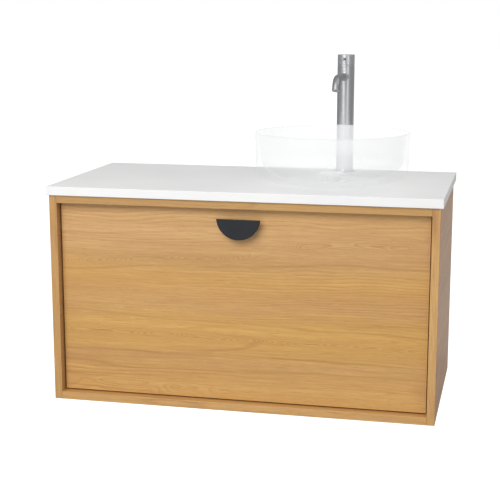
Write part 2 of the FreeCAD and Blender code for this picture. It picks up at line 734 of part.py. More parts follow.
def build_cartridge():
    at = ("basin_x", "tap_y", "deck")
    turned("tap_cartridge", [
        ("0", "cartridge_low"), ("tap_bore - fit", "cartridge_low"),
        ("tap_bore - fit", "cartridge_top"), ("0", "cartridge_top")], *at)
    tube("cartridge_nut", "tap_bore - fit", "carrier_radius + fit", "cartridge_top",
         "cartridge_top + cartridge_nut_thick", *at)
    lower = "deck + cartridge_top + seat"
    plate_high = "deck + cartridge_top + cartridge_nut_thick + carrier_rise"
    plate = rod("z", "carrier_radius", lower, "(%s) - (%s)" % (plate_high, lower),
                x="basin_x", y="tap_y")
    pieces = [plate]
    for low, high in (("basin_x - fork_gap - fork_cheek", "basin_x - fork_gap"),
                      ("basin_x + fork_gap", "basin_x + fork_gap + fork_cheek")):
        pieces.append(box((low, high), ("tap_y - fork_round", "tap_y + fork_round"),
                          (plate_high + " - past", "deck + pivot_z")))
        pieces.append(rod("x", "fork_round", low, "fork_cheek", y="tap_y", z="deck + pivot_z"))
    pin_way = rod("x", "pivot_radius + fit", "basin_x - tap_radius", "tap_radius * 2",
                  y="tap_y", z="deck + pivot_z")
    node("head_fork", cut(fuse(*pieces), pin_way))


def build_head():
    at = ("basin_x", "tap_y", "deck")
    inner = "tap_radius - head_wall"
    crown = "deck + tap_top - head_crown"
    shell = turned("head_shell", [
        (inner, "head_low"), ("tap_radius", "head_low"), ("tap_radius", "tap_top"),
        ("0", "tap_top"), ("0", "tap_top - head_crown"), (inner, "tap_top - head_crown")], *at)
    round_circles(shell, "head_round", [("tap_radius", "head_low"), ("tap_radius", "tap_top")])
    NODES.pop("head_shell")
    boss = box(("basin_x - fork_gap + seat", "basin_x + fork_gap - seat"),
               ("tap_y - fork_round", "tap_y + fork_round"),
               ("deck + pivot_z - fork_round", crown + " + past"))
    pin_way = rod("x", "pivot_radius + fit", "basin_x - fork_gap", "fork_gap * 2",
                  y="tap_y", z="deck + pivot_z")
    grub_z = "deck + pivot_z - grub_drop"
    lever_way = rod("y", "lever_radius + fit", "tap_y - tap_radius - past", "head_wall + 3 * past",
                    x="basin_x", z="deck + pivot_z")
    grub_way = rod("y", "grub_radius + fit", "tap_y + tap_radius - head_wall - 2 * past",
                   "head_wall + 4 * past", x="basin_x", z=grub_z)
    node("tap_head", cut(fuse(shell, boss), pin_way, lever_way, grub_way))
    node("head_pivot_pin", rod("x", "pivot_radius", "basin_x - fork_gap - fork_cheek",
                               "(fork_gap + fork_cheek) * 2", y="tap_y", z="deck + pivot_z"))
    lever = rod("y", "lever_radius", "tap_y - lever_reach",
                "lever_reach - tap_radius + head_wall", x="basin_x", z="deck + pivot_z")
    tip_y = value("tap_y - lever_reach")

    def at_tip(edge):
        return abs(edge.CenterOfMass.y - tip_y) < 0.01

    node("tap_lever", rounded(lever, "lever_round", at_tip))
    node("head_grub_screw", rod("y", "grub_radius", "tap_y + tap_radius - head_wall",
                                "head_wall - grub_recess", x="basin_x", z=grub_z))


def spout_corners():
    """The spout's centre line in its own plane: y is toward the wall, z is up."""
    corners = [("0", "0")]
    steps = [("spout_run * cos(spout_rise)", "spout_run * sin(spout_rise)"),
             ("spout_bow_radius * (sin(spout_bow_down) + sin(spout_rise))",
              "spout_bow_radius * (cos(spout_bow_down) - cos(spout_rise))"),
             ("spout_bend_radius * (sin(spout_down) - sin(spout_bow_down))",
              "spout_bend_radius * (cos(spout_down) - cos(spout_bow_down))"),
             ("spout_end * cos(spout_down)", "0 - spout_end * sin(spout_down)")]
    for ahead, up in steps:
        y, z = corners[-1]
        corners.append(("%s - (%s)" % (y, ahead), "%s + (%s)" % (z, up)))
    return corners


def build_spout():
    corners = spout_corners()
    body = doc.addObject("PartDesign::Body", "Spout")
    path = body.newObject("Sketcher::SketchObject", "Path")
    path.AttachmentSupport = [(origin_plane(body, "YZ_Plane"), "")]
    path.MapMode = "FlatFace"
    points = [FreeCAD.Vector(value(y), value(z), 0) for y, z in corners]
    path.addGeometry(Part.LineSegment(points[0], points[1]), False)
    for number, radius, start, end in ((1, "spout_bow_radius", "0 - spout_rise", "spout_bow_down"),
                                       (2, "spout_bend_radius", "spout_bow_down", "spout_down")):
        down = FreeCAD.Rotation(FreeCAD.Vector(0, 0, 1), value(start))
        centre = points[number] + down.multVec(FreeCAD.Vector(0, -value(radius), 0))
        middle = FreeCAD.Rotation(FreeCAD.Vector(0, 0, 1), (value(end) - value(start)) / 2)
        crown = centre + middle.multVec(points[number] - centre)
        path.addGeometry(Part.Arc(points[number], crown, points[number + 1]), False)
    path.addGeometry(Part.LineSegment(points[3], points[4]), False)
    ends = []
    for number in range(4):
        shape = path.Geometry[number]
        flipped = shape.StartPoint.distanceToPoint(points[number]) > 0.01
        ends.append((2, 1) if flipped else (1, 2))
    for number in range(3):
        path.addConstraint(Sketcher.Constraint("Coincident", number, ends[number][1],
                                               number + 1, ends[number + 1][0]))
    for number in range(4):
        bind_point(path, number, ends[number][0], "p%d" % number, corners[number])
    bind_point(path, 3, ends[3][1], "p4", corners[4])
    for number, radius in ((1, "spout_bow_radius"), (2, "spout_bend_radius")):
        index = path.addConstraint(Sketcher.Constraint("Radius", number, value(radius)))
        path.renameConstraint(index, "bend%d" % number)
        path.setExpression("Constraints.bend%d" % number, expand(radius))
    doc.recompute()
    for kind, radius in (("PartDesign::AdditivePipe", "spout_radius"),
                         ("PartDesign::SubtractivePipe", "spout_bore")):
        feature = body.newObject(kind, "Pipe")
        feature.Profile = disc(body, "XZ_Plane", radius)
        feature.Spine = path
        body.Tip = feature
        doc.recompute()
    put(body, "basin_x", "tap_y - tap_bore - fit", "deck + spout_root")
    node("tap_spout", body)
    end_y, end_z = corners[4]
    body = turned("tap_aerator", [
        ("0", "-aerator_length"), ("spout_bore - fit", "-aerator_length"), ("spout_bore - fit", "0"),
        ("spout_bore - aerator_rim", "0"), ("spout_bore - aerator_rim", "-aerator_rim"),
        ("0", "-aerator_rim")])
    body.Placement.Rotation = FreeCAD.Rotation(FreeCAD.Vector(1, 0, 0), 1)
    bind(body, "Placement.Rotation.Angle", "90 + spout_down")
    put(body, "basin_x",
        "tap_y - tap_bore - fit + %s + aerator_recess * cos(spout_down)" % end_y,
        "deck + spout_root + %s + aerator_recess * sin(spout_down)" % end_z)


# ---------------------------------------------------------------- drawer
def build_drawer():
    high = ("box_low", "box_high")
    front = board_with_arris(("-front_side", "front_side"), ("front_face", "front_back"),
                             ("front_bottom", "front_top"),
                             [("y", "front_face"), ("y", "front_back")])
    screw_ways = [rod("y", "screw_radius + hole_play", "front_face - past", "board + 2 * past",
                      x=side, z="post_z") for side in ("-post_spacing / 2", "post_spacing / 2")]
    node("drawer_front", cut(front, *screw_ways))
    for name, low, far in (("drawer_side_left", "-box_side", "-box_inside"),
                           ("drawer_side_right", "box_inside", "box_side")):
        node(name, board_with_arris((low, far), ("front_back", "box_back"), high,
                                    [("z", "box_high")]))
    floor = box(("-box_inside", "box_inside"), ("front_back", "box_back"), ("box_low", "box_floor"))
    gap = box(("cut_left", "cut_right"), ("cut_front", "box_back + past"),
              ("box_low - past", "box_floor + past"))
    node("drawer_bottom", cut(floor, gap))
    walls = ("box_floor", "box_high")
    back = ("box_back - box_board", "box_back")
    node("drawer_back_left", box(("-box_inside", "cut_left"), back, walls))
    node("drawer_back_right", box(("cut_right", "box_inside"), back, walls))
    beside = ("cut_front - box_board", "box_back - box_board")
    node("cutout_wall_left", box(("cut_left - box_board", "cut_left"), beside, walls))
    node("cutout_wall_right", box(("cut_right", "cut_right + box_board"), beside, walls))
    node("cutout_wall_front", box(("cut_left", "cut_right"),
                                  ("cut_front - box_board", "cut_front"), walls))
    for name, side in (("drawer_bumper_left", "-1"), ("drawer_bumper_right", "1")):
        x = "%s * (box_side - bumper_inset)" % side
        node(name, rod("y", "bumper_radius", "box_back", "-board - box_back - seat",
                       x=x, z="floor_top + rail_height - bumper_inset"))


def build_runner(name, side):
    """Three nested steel channels; side is 1 on the right and -1 on the left."""
    def span(near, far):
        """Distances in from the side panel's inner face, as a low-to-high pair on this side."""
        if side > 0:
            return ("cab_inside - (%s)" % far, "cab_inside - (%s)" % near)
        return ("-cab_inside + (%s)" % near, "-cab_inside + (%s)" % far)

    run = ("runner_start", "runner_end")
    through = ("runner_start - past", "runner_end + past")
    step = "(runner_sheet + runner_play)"

    def channel(level, near, far, open_to_box):
        half = "runner_height / 2 - %s * %d" % (step, level)
        if open_to_box:
            hollow = span("%s + runner_sheet" % near, "%s + past" % far)
        else:
            hollow = span("%s - past" % near, "%s - runner_sheet" % far)
        shell = box(span(near, far), run, ("runner_z - (%s)" % half, "runner_z + (%s)" % half))
        bore = box(hollow, through, ("runner_z - (%s) + runner_sheet" % half,
                                     "runner_z + (%s) - runner_sheet" % half))
        return cut(shell, bore)

    node(name + "_cabinet", channel(0, "0", "runner_space - runner_slim", True))
    node(name + "_middle", channel(1, step, "runner_space - runner_slim", True))
    node(name + "_drawer", channel(2, step + " * 2", "runner_space", False))


def build_handle():
    centre_z = "handle_high + handle_chord"
    plate_face = "cab_front"
    moon = common(rod("y", "handle_radius", plate_face, "handle_plate", z=centre_z),
                  box(("-handle_radius", "handle_radius"), (plate_face, plate_face + " + handle_plate"),
                      (centre_z + " - handle_radius - past", "handle_high")))
    face_y = value(plate_face)

    def on_face(edge):
        return all(abs(vertex.Y - face_y) < 0.01 for vertex in edge.Vertexes)

    node("handle_plate", rounded(moon, "handle_edge_round", on_face))
    post_start = plate_face + " + handle_plate"
    post_length = "front_face - (%s)" % post_start
    for name, side in (("left", "-post_spacing / 2"), ("right", "post_spacing / 2")):
        post = rod("y", "post_radius", post_start, post_length, x=side, z="post_z")
        thread = rod("y", "screw_radius + fit", post_start + " + post_solid", post_length,
                     x=side, z="post_z")
        node("handle_post_" + name, cut(post, thread))
        tip = post_start + " + post_solid + screw_gap"
        shank = rod("y", "screw_radius", tip, "front_back - (%s)" % tip, x=side, z="post_z")
        head = rod("y", "screw_head_radius", "front_back", "screw_head_thick", x=side, z="post_z")
        node("handle_screw_" + name, fuse(shank, head))


# ---------------------------------------------------------------- check and write
def check_document():
    doc.recompute()
    for item in doc.Objects:
        if "Invalid" in item.State or "Error" in item.State:
            raise RuntimeError("%s (%s) failed: %s" % (item.Label, item.Name, item.State))
    for label, item in NODES.items():
        shape = item.Shape
        if shape.isNull() or not shape.isValid() or not shape.Solids:
            raise RuntimeError("%s has no valid solid" % label)


def write_nodes():
    os.makedirs("parts", exist_ok=True)
    for label, item in NODES.items():
        item.Shape.exportStep("parts/%s.step" % label)
    print("wrote %d pieces" % len(NODES))


build_carcase()
build_countertop()
build_basin()
build_waste()
build_trap()
build_tap_body()
build_tap_fixings()
build_cartridge()
build_head()
build_spout()
build_drawer()
build_runner("runner_left", -1)
build_runner("runner_right", 1)
build_handle()
check_document()
write_nodes()
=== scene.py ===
import math

import bmesh
import bpy
from mathutils import Euler, Matrix, Vector
from mathutils.geometry import tessellate_polygon


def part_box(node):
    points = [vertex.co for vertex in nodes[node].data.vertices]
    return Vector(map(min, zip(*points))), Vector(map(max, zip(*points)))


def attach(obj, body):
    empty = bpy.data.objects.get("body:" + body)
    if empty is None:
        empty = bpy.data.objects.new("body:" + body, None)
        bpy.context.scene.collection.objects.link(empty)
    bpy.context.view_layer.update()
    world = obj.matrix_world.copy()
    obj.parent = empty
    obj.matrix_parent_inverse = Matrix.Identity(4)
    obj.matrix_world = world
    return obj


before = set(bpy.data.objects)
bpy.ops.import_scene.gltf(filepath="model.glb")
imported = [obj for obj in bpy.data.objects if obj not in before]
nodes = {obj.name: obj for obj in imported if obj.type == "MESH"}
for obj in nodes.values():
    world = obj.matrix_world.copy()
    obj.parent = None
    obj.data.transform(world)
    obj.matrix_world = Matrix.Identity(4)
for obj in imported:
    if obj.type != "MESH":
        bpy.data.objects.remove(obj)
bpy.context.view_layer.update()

MM = 0.001
scene = bpy.context.scene

# Places that everything else is worked out from, in metres.
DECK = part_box("countertop")[1].z
front_low, front_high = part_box("drawer_front")
front_height = front_high.z - front_low.z
basin_low, basin_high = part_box("basin")
BASIN = (basin_low + basin_high) / 2
head_low, head_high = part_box("tap_head")
TAP = (head_low + head_high) / 2


# ---------------------------------------------------------------- material graphs
def linear(red, green, blue):
    """A display colour, 0 to 255, as the linear colour that shaders take."""
    def one(channel):
        share = channel / 255
        return share / 12.92 if share <= 0.04045 else ((share + 0.055) / 1.055) ** 2.4
    return (one(red), one(green), one(blue), 1.0)


class Graph:
    """A small writer for material node trees."""

    def __init__(self, name):
        self.material = bpy.data.materials.new(name)
        self.material.use_nodes = True
        self.tree = self.material.node_tree
        self.tree.nodes.clear()
        self.shader = self.add("ShaderNodeBsdfPrincipled")
        output = self.add("ShaderNodeOutputMaterial")
        self.tree.links.new(self.shader.outputs[0], output.inputs["Surface"])
        self.place = self.add("ShaderNodeTexCoord").outputs["Object"]

    def add(self, kind, sockets=None, **settings):
        node = self.tree.nodes.new(kind)
        for key, setting in settings.items():
            setattr(node, key, setting)
        for key, source in (sockets or {}).items():
            self.feed(node.inputs[key], source)
        return node

    def feed(self, socket, source):
        """Link a socket to another node's output, or give it a constant."""
        if isinstance(source, bpy.types.NodeSocket):
            self.tree.links.new(source, socket)
        else:
            socket.default_value = source

    def set(self, **sockets):
        """Feed the shader's own sockets."""
        for key, source in sockets.items():
            self.feed(self.shader.inputs[key.replace("_", " ")], source)

    def math(self, operation, *values):
        node = self.add("ShaderNodeMath", operation=operation)
        for index, source in enumerate(values):
            self.feed(node.inputs[index], source)
        return node.outputs[0]

    def times(self, first, second):
        return self.math("MULTIPLY", first, second)

    def plus(self, first, second):
        return self.math("ADD", first, second)

    def less(self, first, second):
        return self.math("SUBTRACT", first, second)

    def stretch(self, scale, offset=(0, 0, 0), vector=None):
        """Object coordinates, scaled and shifted: a scale is roughly features per metre."""
        node = self.add("ShaderNodeMapping", {"Vector": vector or self.place})
        node.inputs["Scale"].default_value = scale
        node.inputs["Location"].default_value = offset
        return node.outputs[0]

    def noise(self, vector, detail, rough):
        """Noise whose size is set by how its vector is stretched."""
        node = self.add("ShaderNodeTexNoise", {"Vector": vector})
        node.inputs["Scale"].default_value = 1.0
        node.inputs["Detail"].default_value = detail
        node.inputs["Roughness"].default_value = rough
        return node.outputs["Fac"]

    def ramp(self, source, stops):
        """A colour ramp: stops are (place, colour)."""
        node = self.add("ShaderNodeValToRGB", {"Fac": source})
        elements = node.color_ramp.elements
        while len(elements) < len(stops):
            elements.new(0.5)
        for element, (place, colour) in zip(elements, stops):
            element.position = place
            element.color = colour
        return node.outputs["Color"]

    def spread(self, source, low, high, to_low=0.0, to_high=1.0, smooth=False):
        """Map low..high onto to_low..to_high and hold it at both ends."""
        node = self.add("ShaderNodeMapRange", {"Value": source})
        node.interpolation_type = "SMOOTHSTEP" if smooth else "LINEAR"
        for key, setting in (("From Min", low), ("From Max", high),
                             ("To Min", to_low), ("To Max", to_high)):
            node.inputs[key].default_value = setting
        return node.outputs[0]

    def mix(self, share, first, second, blend="MIX"):
        node = self.add("ShaderNodeMix", data_type="RGBA", blend_type=blend)
        self.feed(node.inputs["Factor"], share)
        colours = [socket for socket in node.inputs if socket.type == "RGBA"]
        self.feed(colours[0], first)
        self.feed(colours[1], second)
        return [socket for socket in node.outputs if socket.type == "RGBA"][0]

    def bump(self, height, strength, distance):
        node = self.add("ShaderNodeBump", {"Height": height})
        node.inputs["Strength"].default_value = strength
        node.inputs["Distance"].default_value = distance
        self.feed(self.shader.inputs["Normal"], node.outputs[0])


def grain_frame(graph, along, across, seed):
    """Object coordinates as (along the grain, across it, through the board)."""
    parts = graph.add("ShaderNodeSeparateXYZ", {"Vector": graph.place})
    through = ({"X", "Y", "Z"} - {along, across}).pop()
    joined = graph.add("ShaderNodeCombineXYZ")
    for target, axis in zip("XYZ", (along, across, through)):
        graph.feed(joined.inputs[target], parts.outputs[axis])
    moved = graph.stretch((1, 1, 1), (seed * 1.37, seed * 0.73, seed * 0.19), joined.outputs[0])
    return moved, parts.outputs[through]


def oak(name, along, across, seed, light=(211, 168, 104), dark=(179, 132, 77), figure=None,
        ring_lines=130.0, ring_mark=0.30):
    """Straight-grained oak veneer with a few low arches, pores, rays and bands of tone.

    along and across are the axes that the grain runs along and that lies across it.
    ring_lines is how many growth rings cross a metre, and ring_mark how dark they are.
    figure places the strips of arches, the long dark lines and the bands of tone, with any painted
    sheen in its tints.
    """
    graph = Graph(name)
    grain, through = grain_frame(graph, along, across, seed)
    v = graph.add("ShaderNodeSeparateXYZ", {"Vector": grain}).outputs["Y"]
    own = graph.add("ShaderNodeSeparateXYZ", {"Vector": graph.place})
    run, rise = own.outputs[along], own.outputs[across]
    # growth rings: nearly straight lines that drift, with narrow arched strips
    drift = graph.noise(graph.stretch((1.5, 5.0, 5.0), vector=grain), 2.0, 0.4)
    wave = graph.noise(graph.stretch((5.0, 16.0, 16.0), (4.1, 0, 0), vector=grain), 2.0, 0.5)
    heart = graph.noise(graph.stretch((0.35, 8.0, 8.0), (1.9, 6.3, 0), vector=grain), 0.0, 0.5)
    arch_here = graph.spread(heart, 0.57, 0.72, smooth=True)
    arch = graph.noise(graph.stretch((13.0, 22.0, 22.0), (8.2, 0, 0), vector=grain), 1.0, 0.4)
    rings = graph.plus(graph.times(v, ring_lines), graph.times(through, 70.0))
    rings = graph.plus(rings, graph.times(drift, 11.0))
    rings = graph.plus(rings, graph.times(wave, 2.4))
    rings = graph.plus(rings, graph.times(graph.times(arch, arch_here), 9.0))
    wander = graph.noise(graph.stretch((2.6, 9.0, 9.0), (6.6, 1.7, 0), vector=grain), 2.0, 0.5)
    arches = graph.noise(graph.stretch((8.0, 12.0, 12.0), (3.9, 2.8, 0), vector=grain), 1.0, 0.4)
    arched = None
    for place, slope, half_width, centre, reach in (figure or {}).get("arches", ()):
        apart = off_line(graph, run, rise, place, slope, wander, 0.030)
        ridge = graph.spread(apart, 0.0, half_width, 1.0, 0.0, smooth=True)
        along_it = graph.math("ABSOLUTE", graph.less(run, centre))
        ends = graph.spread(along_it, reach * 0.6, reach, 1.0, 0.0, smooth=True)
        ridge = graph.times(ridge, ends)
        rings = graph.plus(rings, graph.times(ridge, graph.times(arches, 16.0)))
        arched = ridge if arched is None else graph.math("MAXIMUM", arched, ridge)
    part = graph.math("FRACT", rings)
    early = graph.math("POWER", graph.less(1.0, part), 3.0)
    # some rings are dark and others hardly show
    strength = graph.noise(graph.stretch((1.1, 34.0, 34.0), (0, 5.5, 0), vector=grain), 1.0, 0.5)
    shown = graph.spread(strength, 0.40, 0.72, 0.10, 1.0, smooth=True)
    if arched is not None:
        shown = graph.plus(shown, graph.times(arched, 1.2))
    ring = graph.times(early, shown)
    # a few long dark lines wander right across the board
    course = graph.noise(graph.stretch((0.9, 8.0, 8.0), (2.7, 3.3, 0), vector=grain), 2.5, 0.45)
    beside = graph.math("ABSOLUTE", graph.less(course, 0.5))
    vein = graph.times(graph.spread(beside, 0.0, 0.012, 1.0, 0.0),
                       graph.spread(strength, 0.35, 0.65))
    broken = graph.noise(graph.stretch((4.0, 30.0, 30.0), (5.1, 2.2, 0), vector=grain), 2.0, 0.5)
    for place, slope, strong in (figure or {}).get("lines", ()):
        apart = off_line(graph, run, rise, place, slope, wander, 0.045)
        line = graph.times(graph.spread(apart, 0.8 * MM, 3.6 * MM, strong, 0.0),
                           graph.spread(broken, 0.36, 0.56))
        vein = graph.math("MAXIMUM", vein, line)
    fibre = graph.noise(graph.stretch((14.0, 360.0, 360.0), vector=grain), 4.0, 0.62)
    streak = graph.noise(graph.stretch((2.2, 64.0, 64.0), (3.1, 0, 0), vector=grain), 3.0, 0.55)
    band = graph.noise(graph.stretch((0.45, 8.5, 8.5), (9.3, 4.2, 0), vector=grain), 2.0, 0.5)
    pores = graph.noise(graph.stretch((48.0, 1300.0, 1300.0), vector=grain), 2.0, 0.5)
    pore = graph.times(graph.spread(pores, 0.56, 0.70), graph.spread(early, 0.0, 0.6, 0.35, 1.0))
    rays = graph.noise(graph.stretch((40.0, 240.0, 240.0), (1.2, 8.1, 0), vector=grain), 1.0, 0.4)
    fleck = graph.spread(rays, 0.68, 0.78)
    tone = graph.plus(graph.times(ring, ring_mark), graph.times(streak, 0.36))
    tone = graph.plus(graph.plus(tone, 0.045), graph.times(fibre, 0.52))
    tone = graph.plus(tone, graph.times(vein, 0.34))
    middle = tuple((a + b) / 2 for a, b in zip(light, dark))
    base = graph.ramp(tone, [(0.30, linear(*light)), (0.52, linear(*middle)),
                             (0.88, linear(*dark))])
    swing = 0.5 if figure else 1.0
    rosy = graph.mix(graph.spread(band, 0.50, 0.64, 0.0, swing, smooth=True), base,
                     (0.965, 0.945, 0.965, 1.0), blend="MULTIPLY")
    golden = graph.mix(graph.spread(band, 0.34, 0.48, swing, 0.0, smooth=True), rosy,
                       (1.02, 1.02, 0.93, 1.0), blend="MULTIPLY")
    if figure:
        shifted = graph.plus(rise, graph.times(graph.less(wander, 0.5), 0.06))
        share = graph.spread(shifted, *figure["span"])
        headroom = 1.3    # a ramp's colours stop at one, so tints are scaled down and back
        # the figure's tints: bands of the veneer's tone, with painted sheen where the figure gives
        # it
        tints_and_sheen = graph.ramp(share, [(at, tuple(channel / headroom for channel in tint) + (1.0,))
                                   for at, tint in figure["tints_and_sheen"]])
        tinted = graph.mix(1.0, golden, tints_and_sheen, blend="MULTIPLY")
        golden = graph.mix(1.0, tinted, (headroom, headroom, headroom, 1.0), blend="MULTIPLY")
    with_pores = graph.mix(graph.times(pore, 0.48), golden, linear(140, 97, 52))
    colour = graph.mix(graph.times(fleck, 0.18), with_pores, linear(224, 190, 134))
    graph.set(Base_Color=colour)
    graph.set(Roughness=graph.spread(fibre, 0.2, 0.8, 0.40, 0.54))
    graph.set(Specular_IOR_Level=0.45, Coat_Weight=0.18, Coat_Roughness=0.32)
    height = graph.less(graph.times(fibre, 0.35), pore)
    graph.bump(height, 0.2, 0.1 * MM)
    return graph.material


def off_line(graph, run, rise, place, slope, wander, swing):
    """How far a point lies from a line that wanders along the grain, in metres."""
    course = graph.plus(graph.times(run, slope), place)
    sway = graph.times(graph.less(wander, 0.5), swing)
    return graph.math("ABSOLUTE", graph.less(rise, graph.plus(course, sway)))


def ply(name, along, across, seed):
    """Pale birch ply for the drawer box: a quiet face and layered edges."""
    ply_step = 2.0 * MM
    graph = Graph(name)
    grain, through = grain_frame(graph, along, across, seed)
    fibre = graph.noise(graph.stretch((5.0, 260.0, 260.0), vector=grain), 4.0, 0.6)
    cloud = graph.noise(graph.stretch((1.6, 9.0, 9.0), (2.2, 0, 0), vector=grain), 2.0, 0.5)
    layers = graph.math("FRACT", graph.math("DIVIDE", graph.plus(through, 10.0), ply_step * 2))
    glue = graph.spread(graph.math("ABSOLUTE", graph.less(layers, 0.5)), 0.02, 0.06)
    tone = graph.plus(graph.times(fibre, 0.6), graph.times(cloud, 0.5))
    base = graph.ramp(tone, [(0.30, linear(232, 214, 184)), (0.85, linear(206, 182, 146))])
    banded = graph.mix(graph.spread(layers, 0.49, 0.51, 0.0, 0.22), base, linear(178, 146, 106))
    colour = graph.mix(glue, linear(150, 118, 82), banded)
    graph.set(Base_Color=colour, Roughness=graph.spread(fibre, 0.2, 0.8, 0.48, 0.62))
    graph.bump(fibre, 0.15, 0.08 * MM)
    return graph.material


def solid_surface(name):
    """Matt white countertop: very faint clouding, fine grain and a soft polish."""
    graph = Graph(name)
    cloud = graph.noise(graph.stretch((5, 5, 5)), 4.0, 0.55)
    speck = graph.noise(graph.stretch((900, 900, 900)), 2.0, 0.5)
    tone = graph.plus(graph.times(cloud, 0.7), graph.times(speck, 0.3))
    colour = graph.ramp(tone, [(0.3, linear(229, 229, 229)), (0.7, linear(236, 236, 235))])
    graph.set(Base_Color=colour, Roughness=graph.spread(cloud, 0.3, 0.7, 0.42, 0.52))
    graph.set(Specular_IOR_Level=0.4)
    graph.bump(speck, 0.05, 0.05 * MM)
    return graph.material


def milky_glass_painted_glow(name):
    """The basin: translucent glass, clearer toward the foot, slightly clouded, made white by a
    painted glow. The emission stands in for light passing through the glass; it and the colour are
    painted darker toward the foot, at the outline and in a band just under the rim.
    """
    graph = Graph(name)
    clear_to, milky_from = 30 * MM, 62 * MM
    rim_from, rim_to = basin_high.z - DECK - 4.5 * MM, basin_high.z - DECK - 1.5 * MM
    edge_from, edge_to = 0.70, 0.92    # how far the surface is turned away at its outline
    parts = graph.add("ShaderNodeSeparateXYZ", {"Vector": graph.place})
    height = graph.less(parts.outputs["Z"], DECK)
    cloud = graph.noise(graph.stretch((9, 9, 6)), 3.0, 0.5)
    level = graph.plus(height, graph.times(graph.less(cloud, 0.5), 0.01))
    alpha = graph.spread(level, clear_to, milky_from, 0.12, 0.42, smooth=True)
    # shade is painted shade: it dims the painted glow and the colour toward the foot
    shade = graph.spread(level, clear_to, milky_from, 0.72, 1.0, smooth=True)
    facing = graph.add("ShaderNodeLayerWeight", {"Blend": 0.5}).outputs["Facing"]
    alpha = graph.plus(alpha, graph.spread(facing, edge_from, edge_to, 0.0, 0.16))
    # painted shade: the glow and colour are darker at the outline, then in a band just under the
    # rim
    shade = graph.times(shade, graph.spread(facing, edge_from, edge_to, 1.0, 0.90))
    shade = graph.times(shade, graph.spread(height, rim_from, rim_to, 1.0, 0.93))
    colour = graph.ramp(cloud, [(0.3, linear(143, 144, 145)), (0.7, linear(137, 139, 140))])
    tinted = graph.mix(shade, (0.0, 0.0, 0.0, 1.0), colour)
    graph.set(Base_Color=tinted, Roughness=graph.spread(cloud, 0.2, 0.8, 0.10, 0.18))
    graph.set(Alpha=alpha, Specular_IOR_Level=0.08)
    # painted glow: the emission stands in for light passing through the glass, not a lamp
    graph.set(Emission_Color=(1, 1, 1, 1), Emission_Strength=graph.times(shade, 0.64))
    return graph.material


def milky_plastic_painted_glow(name, colour=(150, 151, 152), glow=0.45, roughness=0.28):
    """White plastic or silicone with a painted glow that stands in for light passing into it: slow
    clouding under a soft gloss.
    """
    graph = Graph(name)
    # painted glow: the emission evens out the shading, it is not a lamp
    graph.set(Emission_Color=(1, 1, 1, 1), Emission_Strength=glow)
    cloud = graph.noise(graph.stretch((40, 40, 40)), 3.0, 0.5)
    base = linear(*colour)
    darker = tuple(channel * 0.95 for channel in base[:3]) + (1.0,)
    graph.set(Base_Color=graph.mix(cloud, base, darker))
    graph.set(Roughness=graph.spread(cloud, 0.3, 0.7, roughness - 0.04, roughness + 0.04))
    graph.set(Specular_IOR_Level=0.25)
    return graph.material


def brushed(name, colour=(203, 204, 206), low=0.32, high=0.36, across_z=True, root_highlight=None):
    """Brushed stainless steel: fine turned lines and a soft variation in gloss.

    The last argument gives a lighter colour for the end of the spout that is next to the tap's
    body: a painted highlight.
    """
    graph = Graph(name)
    lines = (12, 12, 2600) if across_z else (2600, 12, 2600)
    brush = graph.noise(graph.stretch(lines), 2.0, 0.5)
    smear = graph.noise(graph.stretch((12, 12, 9), (3, 1, 2)), 1.0, 0.4)
    base = linear(*colour)
    lighter = tuple(min(1.0, channel * 1.03) for channel in base[:3]) + (1.0,)
    shown = graph.mix(brush, base, lighter)
    # painted highlight: the spout grows lighter toward the tap's body
    if root_highlight is not None:
        parts = graph.add("ShaderNodeSeparateXYZ", {"Vector": graph.place})
        fade_from, fade_to = head_low.y - 45 * MM, head_low.y - 5 * MM
        near = graph.spread(parts.outputs["Y"], fade_from, fade_to, smooth=True)
        shown = graph.mix(near, shown, linear(*root_highlight))
    graph.set(Base_Color=shown, Metallic=1.0)
    gloss = graph.plus(graph.times(brush, 0.6), graph.times(smear, 0.4))
    graph.set(Roughness=graph.spread(gloss, 0.3, 0.7, low, high))
    return graph.material


def polished(name, colour, low=0.06, high=0.16):
    """Plated metal with faint water marks in its gloss."""
    graph = Graph(name)
    marks = graph.noise(graph.stretch((60, 60, 60)), 4.0, 0.6)
    fine = graph.noise(graph.stretch((700, 700, 700)), 2.0, 0.5)
    base = linear(*colour)
    dull = tuple(channel * 0.9 for channel in base[:3]) + (1.0,)
    graph.set(Base_Color=graph.mix(marks, base, dull), Metallic=1.0)
    graph.set(Roughness=graph.spread(marks, 0.3, 0.7, low, high))
    graph.bump(fine, 0.03, 0.02 * MM)
    return graph.material


def powder_coat(name):
    """Black powder coat with a fine orange-peel texture."""
    graph = Graph(name)
    peel = graph.noise(graph.stretch((1100, 1100, 1100)), 2.0, 0.5)
    cloud = graph.noise(graph.stretch((22, 22, 22)), 2.0, 0.5)
    colour = graph.ramp(cloud, [(0.35, linear(20, 23, 29)), (0.65, linear(26, 29, 35))])
    graph.set(Base_Color=colour, Roughness=graph.spread(peel, 0.2, 0.8, 0.46, 0.60))
    graph.set(Specular_IOR_Level=0.4)
    graph.bump(peel, 0.2, 0.05 * MM)
    return graph.material


def moulded(name, colour, roughness):
    """Moulded plastic or rubber with a fine grain."""
    grain = 500
    graph = Graph(name)
    fine = graph.noise(graph.stretch((grain, grain, grain)), 3.0, 0.55)
    cloud = graph.noise(graph.stretch((30, 30, 30)), 2.0, 0.5)
    base = linear(*colour)
    darker = tuple(channel * 0.85 for channel in base[:3]) + (1.0,)
    graph.set(Base_Color=graph.mix(cloud, base, darker))
    graph.set(Roughness=graph.spread(fine, 0.2, 0.8, roughness - 0.06, roughness + 0.06))
    graph.bump(fine, 0.2, 0.05 * MM)
    return graph.material


# ---------------------------------------------------------------- materials of the CAD nodes
def dress(material, *names):
    """Give CAD nodes one material all over."""
    for name in names:
        mesh = nodes[name].data
        mesh.materials.clear()
        mesh.materials.append(material)
        for face in mesh.polygons:
            face.material_index = 0


